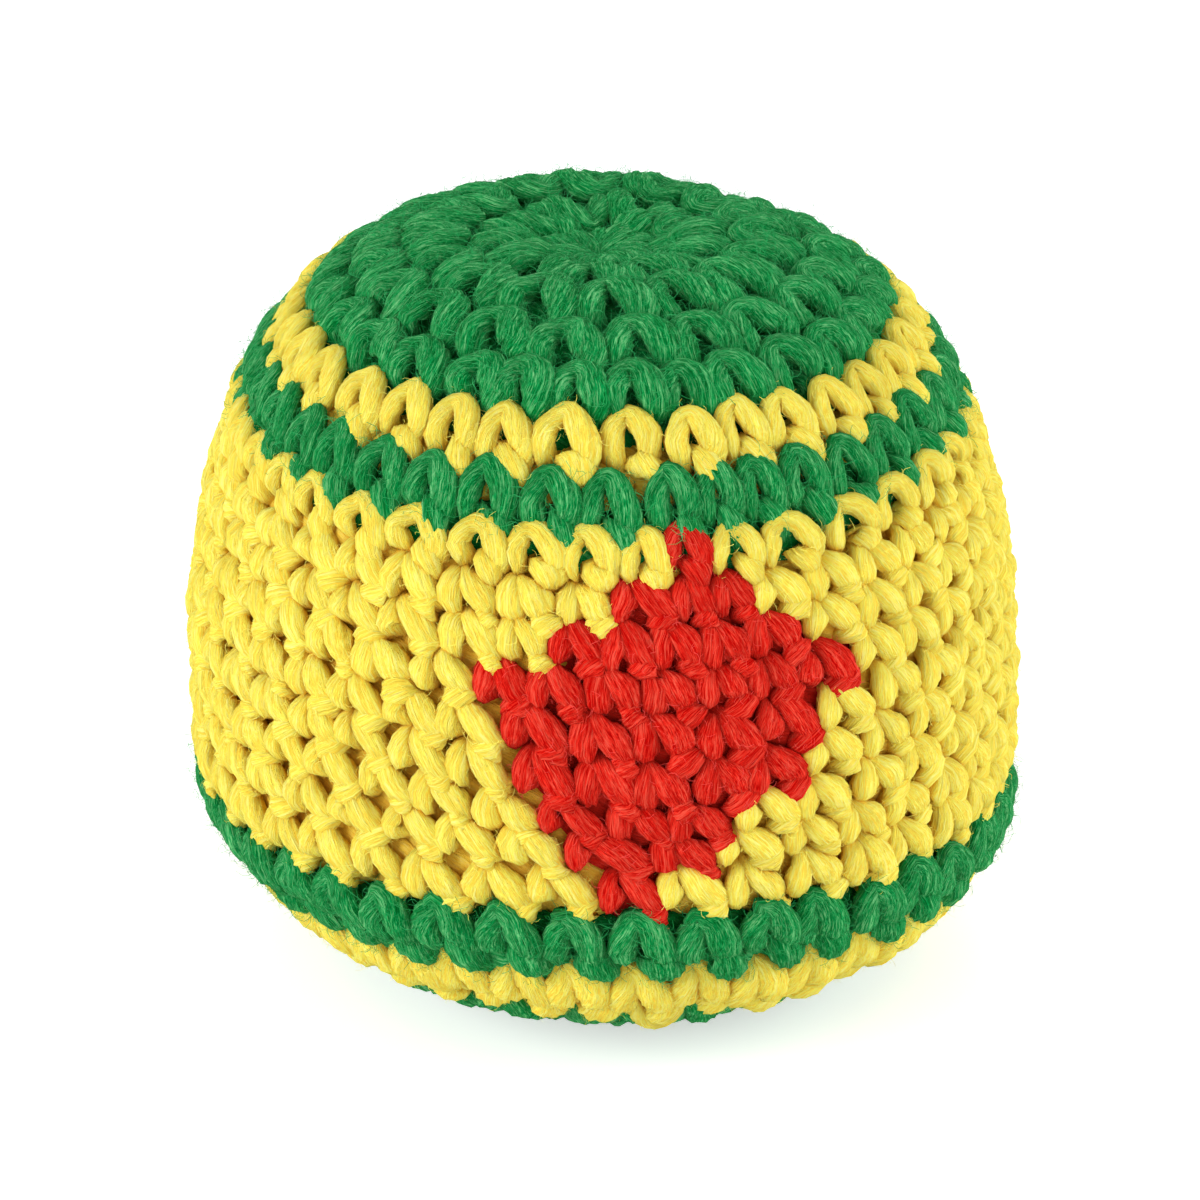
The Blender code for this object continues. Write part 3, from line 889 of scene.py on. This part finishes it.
def mixed(tree, factor, first, second):
    """The mix of two colours."""
    node = add_node(tree, "ShaderNodeMix", {"Factor": factor}, data_type="RGBA")
    for key, value in (("A", first), ("B", second)):
        socket = next(s for s in node.inputs if s.name == key and s.type == "RGBA")
        if isinstance(value, bpy.types.NodeSocket):
            tree.links.new(value, socket)
        else:
            socket.default_value = value
    return next(s for s in node.outputs if s.type == "RGBA")


def tinted(rgba, saturation, value):
    """The colour with its saturation and value scaled."""
    rgb = np.array(rgba[:3])
    grey = rgb.max()
    return (*np.clip((grey - (grey - rgb) * saturation) * value, 0, 1), 1.0)


def acrylic_yarn(name, rgba, deep, pale, shadow, sheen, relief_depth):
    """Spun acrylic yarn: soft matte fibres that run along it, with painted shade in the grooves between the strands and
    in the crevices between stitches.
    """
    made, tree = material(name)
    fibre = add_node(tree, "ShaderNodeAttribute", attribute_name="fibre").outputs["Vector"]
    height = add_node(tree, "ShaderNodeAttribute", attribute_name="height").outputs["Fac"]
    seed = add_node(tree, "ShaderNodeAttribute", attribute_name="yarn_seed").outputs["Fac"]
    # Fibres about 0.2 mm wide and 3 mm long on yarn of 0.8 mm radius, in strands of 0.4 mm.
    fine = add_node(
        tree,
        "ShaderNodeTexNoise",
        {
            "Vector": vectors(tree, "MULTIPLY", fibre, (1.0, 1.0, 0.18)),
            "W": seed,
            "Scale": 13.0,
            "Detail": 2.0,
            "Roughness": 0.65,
        },
        noise_dimensions="4D",
    ).outputs["Fac"]
    strands = add_node(
        tree,
        "ShaderNodeTexNoise",
        {
            "Vector": vectors(tree, "MULTIPLY", fibre, (1.0, 1.0, 0.07)),
            "W": seed,
            "Scale": 5.5,
            "Detail": 1.0,
            "Roughness": 0.5,
        },
        noise_dimensions="4D",
    ).outputs["Fac"]
    crest = add_node(tree, "ShaderNodeAttribute", attribute_name="crest").outputs["Fac"]
    # Random streaks of fibre tone, from deep to pale.
    streak_tone = maths(tree, "ADD", maths(tree, "MULTIPLY", fine, 0.7), maths(tree, "MULTIPLY", strands, 0.3))
    streaks = ramp(tree, streak_tone, (0.40, deep), (0.5, rgba), (0.62, pale))
    # Painted shade in the seams between strands and in the grooves where the crest is low: there the colour is mixed
    # towards deep.
    between = maths(tree, "ABSOLUTE", maths(tree, "SUBTRACT", strands, 0.5))
    seam = add_node(tree, "ShaderNodeMapRange", {"Value": between, "From Max": 0.03}).outputs[0]
    groove_shade_mask = add_node(
        tree, "ShaderNodeMapRange", {"Value": maths(tree, "MULTIPLY", seam, crest), "To Min": 0.45}
    ).outputs[0]
    # Painted shade in the crevices between stitches: yarn that lies low under the outline, and yarn that the Ambient
    # Occlusion node finds hemmed in by nearby faces, is mixed towards the shadow colour.
    height_shade_mask = add_node(
        tree, "ShaderNodeMapRange", {"Value": height, "From Min": -0.9, "From Max": 0.45}
    ).outputs[0]
    crowded = add_node(tree, "ShaderNodeAmbientOcclusion", {"Distance": 0.0011}, samples=6).outputs["AO"]
    clear = add_node(tree, "ShaderNodeMapRange", {"Value": crowded, "From Min": 0.12, "From Max": 0.62}).outputs[0]
    base = mixed(tree, maths(tree, "MULTIPLY", height_shade_mask, clear), shadow, mixed(tree, groove_shade_mask, deep, streaks))
    relief = maths(tree, "ADD", fine, maths(tree, "MULTIPLY", seam, 0.25))
    bump = add_node(tree, "ShaderNodeBump", {"Height": relief, "Strength": 0.8, "Distance": relief_depth}).outputs[0]
    surface = add_node(
        tree,
        "ShaderNodeBsdfPrincipled",
        {
            "Base Color": base,
            "Roughness": 0.85,
            "Specular IOR Level": 0.03,
            "Sheen Weight": sheen,
            "Sheen Roughness": 0.3,
            "Sheen Tint": pale,
            "Normal": bump,
        },
    ).outputs[0]
    finish_shader(tree, surface)
    return made


def loose_fibre(name, rgba):
    """Single acrylic fibres: thin, matte and a little pale."""
    made, tree = material(name)
    surface = add_node(
        tree, "ShaderNodeBsdfPrincipled", {"Base Color": rgba, "Roughness": 0.6, "Specular IOR Level": 0.2}
    ).outputs[0]
    finish_shader(tree, surface)
    return made


def woven_cotton(name, rgba):
    """Plain woven cotton of about 0.3 mm threads."""
    made, tree = material(name)
    place = add_node(tree, "ShaderNodeTexCoord").outputs["Object"]
    weave = add_node(tree, "ShaderNodeTexNoise", {"Vector": place, "Scale": 2500.0, "Detail": 2.0}).outputs["Fac"]
    base = ramp(tree, weave, (0.35, tinted(rgba, 1.0, 0.5)), (0.65, rgba))
    bump = add_node(tree, "ShaderNodeBump", {"Height": weave, "Strength": 0.5, "Distance": 0.0001}).outputs[0]
    surface = add_node(
        tree, "ShaderNodeBsdfPrincipled", {"Base Color": base, "Roughness": 0.9, "Normal": bump}
    ).outputs[0]
    finish_shader(tree, surface)
    return made


def smooth_plastic(name, rgba):
    """Tumbled polypropylene."""
    made, tree = material(name)
    surface = add_node(tree, "ShaderNodeBsdfPrincipled", {"Base Color": rgba, "Roughness": 0.4}).outputs[0]
    finish_shader(tree, surface)
    return made


def yarn_material(context, yarn):
    """The named yarn's material, made once."""
    name = f"{yarn}_acrylic_yarn"
    if name in bpy.data.materials:
        return bpy.data.materials[name]
    colours = context.scene.footbag_colours
    rgba = tuple(getattr(colours, yarn))
    # deep is the dark end of the fibre streaks and the painted shade in the grooves between strands; shadow is the
    # painted shade in the crevices between stitches, warm orange for the yellow yarn as for light bounced between its
    # strands; pale is the light end of the streaks and the sheen's tint.
    deep, pale, shadow = {
        "green": (tinted(rgba, 1.1, 0.4), linear("#78CC84"), tinted(rgba, 1.1, 0.66)),
        "yellow": (linear("#F6CE42"), linear("#F8F088"), linear("#F5BE3C")),
        "red": (tinted(rgba, 1.1, 0.6), linear("#EE5844"), tinted(rgba, 1.0, 0.8)),
    }[yarn]
    sheen, relief_depth = (0.35, 0.0003) if yarn == "green" else (0.2, 0.0002)
    return acrylic_yarn(name, rgba, deep, pale, shadow, sheen, relief_depth)


def fibre_material(context, yarn):
    """The material of the named yarn's loose fibres, made once."""
    name = f"{yarn}_loose_fibre"
    rgba = tuple(getattr(context.scene.footbag_colours, yarn))
    return bpy.data.materials.get(name) or loose_fibre(name, tinted(rgba, 0.95, 1.05))


def yarn_of(node):
    """The yarn of a CAD node."""
    if node.startswith("red"):
        return "red"
    return next(r.yarn for r in ROUNDS if r.node == node)


def build_yarn(context, wanted):
    """Swept yarn for each wanted CAD node, riding the bag and standing for that node."""
    sizes = context.scene.footbag_sizes
    runs = [r for r in yarn_runs(sizes) if r[0] in wanted]
    tree = node_tree("Spun yarn", yarn_tree)
    fuzz = node_tree("Loose fibres", fuzz_tree)
    for number, node in enumerate(wanted):
        yarn = yarn_of(node)
        plies = BASE_PLIES if node.startswith("base") else sizes.plies
        line = path_object(f"{node}_line", [r for r in runs if r[0] == node])
        piece = grown(
            line,
            f"{node}_yarn",
            tree,
            {
                "Strands": float(plies),
                "Groove depth": sizes.ply_depth,
                "Twist": sizes.ply_twist,
                "Sides": plies * 2,
                "Material": yarn_material(context, yarn),
            },
        )
        dropped(line)
        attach(piece, "root")
        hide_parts(node)
        # The base is pressed smooth against the floor.
        if node.startswith("base"):
            continue
        hairs = grown(
            piece,
            f"{node}_fibres",
            fuzz,
            {
                "Density": (sizes.green_fibres if yarn == "green" else sizes.other_fibres) / MM**2,
                "Fibre length": sizes.fibre_length if yarn == "green" else sizes.short_fibres,
                "Fibre width": sizes.fibre_width,
                "Lowest": LOWEST_FIBRE,
                "Seed": number + FIBRE_SEED,
                "Material": fibre_material(context, yarn),
            },
        )
        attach(hairs, "root")


def turned_shell(name, outline, depth, segments, rings):
    """A closed body of revolution under the outline."""
    along = np.linspace(0, outline.total, rings + 1)[1:-1]
    angle = np.linspace(0, 2 * math.pi, segments, endpoint=False)
    points, _ = outline.place(np.repeat(along, segments), np.tile(angle, len(along)), -depth)
    poles, _ = outline.place(np.array([0.0, outline.total]), np.zeros(2), -depth)
    poles[:, :2] = points[:segments].mean(0)[:2], points[-segments:].mean(0)[:2]
    rows = np.arange(len(along) * segments).reshape(-1, segments)
    faces = []
    for upper, lower in zip(rows[:-1], rows[1:]):
        for a, b in zip(range(segments), [*range(1, segments), 0]):
            faces.append((int(upper[a]), int(lower[a]), int(lower[b]), int(upper[b])))
    first, last = len(points), len(points) + 1
    for a, b in zip(range(segments), [*range(1, segments), 0]):
        faces.append((first, int(rows[0][a]), int(rows[0][b])))
        faces.append((last, int(rows[-1][b]), int(rows[-1][a])))
    mesh = bpy.data.meshes.new(name)
    mesh.from_pydata([*points.tolist(), *poles.tolist()], [], faces)
    mesh.shade_smooth()
    return linked(name, mesh)


class FOOTBAG_OT_crown(bpy.types.Operator):
    """Crochet the green crown"""

    bl_idname = "footbag.crown"
    bl_label = "Crown"

    def execute(self, context):
        build_yarn(context, [r.node for r in ROUNDS if r.node.startswith("crown")])
        return {"FINISHED"}


class FOOTBAG_OT_stripes(bpy.types.Operator):
    """Crochet the yellow and green stripes above and below the band"""

    bl_idname = "footbag.stripes"
    bl_label = "Stripes"

    def execute(self, context):
        build_yarn(context, [r.node for r in ROUNDS if r.node.endswith("stripe")])
        return {"FINISHED"}


class FOOTBAG_OT_band(bpy.types.Operator):
    """Crochet the yellow band with its red diamonds"""

    bl_idname = "footbag.band"
    bl_label = "Band"

    def execute(self, context):
        build_yarn(context, [r.node for r in ROUNDS if r.node.startswith("band")] + list(DIAMONDS))
        return {"FINISHED"}


class FOOTBAG_OT_base(bpy.types.Operator):
    """Crochet the green base"""

    bl_idname = "footbag.base"
    bl_label = "Base"

    def execute(self, context):
        build_yarn(context, [r.node for r in ROUNDS if r.node.startswith("base")])
        return {"FINISHED"}


class FOOTBAG_OT_lining(bpy.types.Operator):
    """Make the cotton lining under the yarn"""

    bl_idname = "footbag.lining"
    bl_label = "Lining"

    def execute(self, context):
        sizes = context.scene.footbag_sizes
        lining = turned_shell("lining", Outline(sizes), sizes.lining_depth, LINING_SEGMENTS, LINING_RINGS)
        lining.data.materials.append(woven_cotton("brown_cotton_lining", tuple(context.scene.footbag_colours.lining)))
        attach(lining, "root")
        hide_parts("liner_pouch")
        return {"FINISHED"}


class FOOTBAG_OT_filling(bpy.types.Operator):
    """Fill the lining with pellets and tie its neck"""

    bl_idname = "footbag.filling"
    bl_label = "Filling and tie"

    def execute(self, context):
        sizes, colours = context.scene.footbag_sizes, context.scene.footbag_colours
        outline = Outline(sizes)
        low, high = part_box("pellet_fill")
        step = sizes.pellet_size
        counts = [int((high[i] - low[i]) / step) for i in range(3)]
        grid = np.stack(np.meshgrid(*[np.arange(c + 1) for c in counts], indexing="ij"), -1).reshape(-1, 3)
        places = np.array(low) + step / 2 + grid * step + np.where(grid[:, 2:] % 2, step / 2, 0) * [1, 1, 0]
        places += np.random.default_rng(PELLET_SEED).uniform(-PELLET_STRAY, PELLET_STRAY, places.shape) * step
        radius = np.hypot(places[:, 0], places[:, 1])
        depth = sizes.lining_depth + PELLET_GAP + step / 2
        upper, lower = outline.radius[::-1] - depth, outline.height[::-1]
        inside = radius < np.interp(places[:, 2], lower, upper)
        inside &= (places[:, 2] > low[2] + step / 2) & (places[:, 2] < high[2] - step)
        mesh = bpy.data.meshes.new("pellet_places")
        mesh.from_pydata(places[inside].tolist(), [], [])
        points = linked("pellet_places", mesh)
        pellets = grown(
            points,
            "pellets",
            node_tree("Pellets", pellet_tree),
            {
                "Pellet size": step,
                "Seed": 5,
                "Material": smooth_plastic("polypropylene_pellets", tuple(colours.pellets)),
            },
        )
        dropped(points)
        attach(pellets, "root")
        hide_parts("pellet_fill")
        low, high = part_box("liner_tie")
        middle, radius = (low + high) / 2, (high[0] - low[0]) / 2 - sizes.thread_width / 2
        turn = np.linspace(0, TIE_TURNS * math.tau, TIE_TURNS * 36 + 1)
        rise = np.linspace(-1, 1, len(turn)) * sizes.thread_width * 0.9
        line = np.stack([middle[0] + radius * np.cos(turn), middle[1] + radius * np.sin(turn), middle[2] + rise], 1)
        ones, zeros = np.ones(len(turn)), np.zeros(len(turn))
        outward = np.stack([np.cos(turn), np.sin(turn), zeros], 1)
        path = path_object("tie_line", [("tie", line, outward, ones * sizes.thread_width / 2, ones, zeros)])
        rgba = tuple(colours.thread)
        # Painted shade for the thread: deep in its grooves and shadow in its crevices, both darker copies of its own
        # colour.
        deep, shadow = tinted(rgba, 1, 0.6), tinted(rgba, 1, 0.5)
        tie = grown(
            path,
            "tie_thread",
            node_tree("Spun yarn", yarn_tree),
            {
                "Strands": 3.0,
                "Groove depth": 0.1,
                "Twist": 400.0,
                "Sides": 12,
                "Material": acrylic_yarn("polyester_thread", rgba, deep, rgba, shadow, 0.1, 0.0001),
            },
        )
        dropped(path)
        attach(tie, "root")
        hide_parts("liner_tie")
        return {"FINISHED"}


def area_lamp(name, place, size, power):
    """A soft square lamp aimed at the bag."""
    data = bpy.data.lights.new(name, "AREA")
    data.size, data.energy = size, power
    lamp = linked(name, data)
    lamp.location = place
    lamp.rotation_euler = (Vector((0, 0, LAMP_AIM)) - Vector(place)).to_track_quat("-Z", "Y").to_euler()


class FOOTBAG_OT_stage(bpy.types.Operator):
    """Set the white floor, soft lamps and camera"""

    bl_idname = "footbag.stage"
    bl_label = "Stage"

    def execute(self, context):
        scene = context.scene
        scene.view_settings.view_transform = "Standard"
        made, tree = material("white_paper")
        ray = add_node(tree, "ShaderNodeLightPath").outputs["Is Camera Ray"]
        paper = add_node(tree, "ShaderNodeBsdfDiffuse", {"Color": linear("#F6F6F6")}).outputs[0]
        shine = maths(tree, "MULTIPLY", ray, FLOOR_GLOW)
        glow = add_node(tree, "ShaderNodeEmission", {"Color": linear("#FFFFFF"), "Strength": shine}).outputs[0]
        total = add_node(tree, "ShaderNodeAddShader", {0: paper, 1: glow}).outputs[0]
        finish_shader(tree, total)
        mesh = bpy.data.meshes.new("floor")
        corners = [(x * FLOOR_REACH, y * FLOOR_REACH, 0) for x, y in ((-1, -1), (1, -1), (1, 1), (-1, 1))]
        mesh.from_pydata(corners, [], [(0, 1, 2, 3)])
        mesh.materials.append(made)
        floor = linked("floor", mesh)

        world = scene.world or bpy.data.worlds.new("studio")
        scene.world = world
        world.use_nodes = True
        sky = world.node_tree
        sky.nodes.clear()
        path = add_node(sky, "ShaderNodeLightPath").outputs
        seen = maths(sky, "MAXIMUM", path["Is Camera Ray"], path["Is Glossy Ray"])
        seen = maths(sky, "MAXIMUM", seen, path["Is Transmission Ray"])
        strength = add_node(sky, "ShaderNodeMapRange", {"Value": seen, "To Min": WORLD_LIGHT, "To Max": 1.0}).outputs[0]
        back = add_node(sky, "ShaderNodeBackground", {"Color": linear("#FFFFFF"), "Strength": strength}).outputs[0]
        finish_shader(sky, back, "ShaderNodeOutputWorld")

        for lamp in LAMPS:
            area_lamp(*lamp)

        azimuth, elevation = math.radians(SIGHT_LINE), CAMERA_ELEVATION
        level = math.cos(elevation)
        to_camera = Vector((math.sin(azimuth) * level, -math.cos(azimuth) * level, math.sin(elevation)))
        data = bpy.data.cameras.new("camera")
        data.sensor_width, data.lens = CAMERA_SENSOR, CAMERA_LENS
        camera = linked("camera", data)
        camera.location = Vector((0, 0, CAMERA_AIM)) + to_camera * CAMERA_DISTANCE
        turn = (-to_camera).to_track_quat("-Z", "Y")
        camera.rotation_mode = "QUATERNION"
        camera.rotation_quaternion = turn @ Euler(CAMERA_TILT).to_quaternion()
        data.clip_start, data.clip_end = 0.01, 10.0
        scene.camera = camera
        return {"FINISHED"}


class FOOTBAG_PT_panel(bpy.types.Panel):
    bl_label = "Crocheted Footbag"
    bl_idname = "FOOTBAG_PT_panel"
    bl_space_type = "VIEW_3D"
    bl_region_type = "UI"
    bl_category = "Footbag"

    def draw(self, context):
        column = self.layout.column()
        for group in (context.scene.footbag_sizes, context.scene.footbag_colours):
            for name in group.bl_rna.properties.keys():
                if name not in ("rna_type", "name"):
                    column.prop(group, name)
        for kind in OPERATORS:
            column.operator(kind.bl_idname)


OPERATORS = (
    FOOTBAG_OT_crown,
    FOOTBAG_OT_stripes,
    FOOTBAG_OT_band,
    FOOTBAG_OT_base,
    FOOTBAG_OT_lining,
    FOOTBAG_OT_filling,
    FOOTBAG_OT_stage,
)
CLASSES = (FOOTBAG_PG_sizes, FOOTBAG_PG_colours, *OPERATORS, FOOTBAG_PT_panel)


def register():
    for kind in CLASSES:
        bpy.utils.register_class(kind)
    bpy.types.Scene.footbag_sizes = PointerProperty(type=FOOTBAG_PG_sizes)
    bpy.types.Scene.footbag_colours = PointerProperty(type=FOOTBAG_PG_colours)


def unregister():
    del bpy.types.Scene.footbag_colours
    del bpy.types.Scene.footbag_sizes
    for kind in reversed(CLASSES):
        bpy.utils.unregister_class(kind)


def main():
    register()
    bpy.ops.footbag.crown()
    bpy.ops.footbag.stripes()
    bpy.ops.footbag.band()
    bpy.ops.footbag.base()
    bpy.ops.footbag.lining()
    bpy.ops.footbag.filling()
    bpy.ops.footbag.stage()


if __name__ == "__main__":
    main()
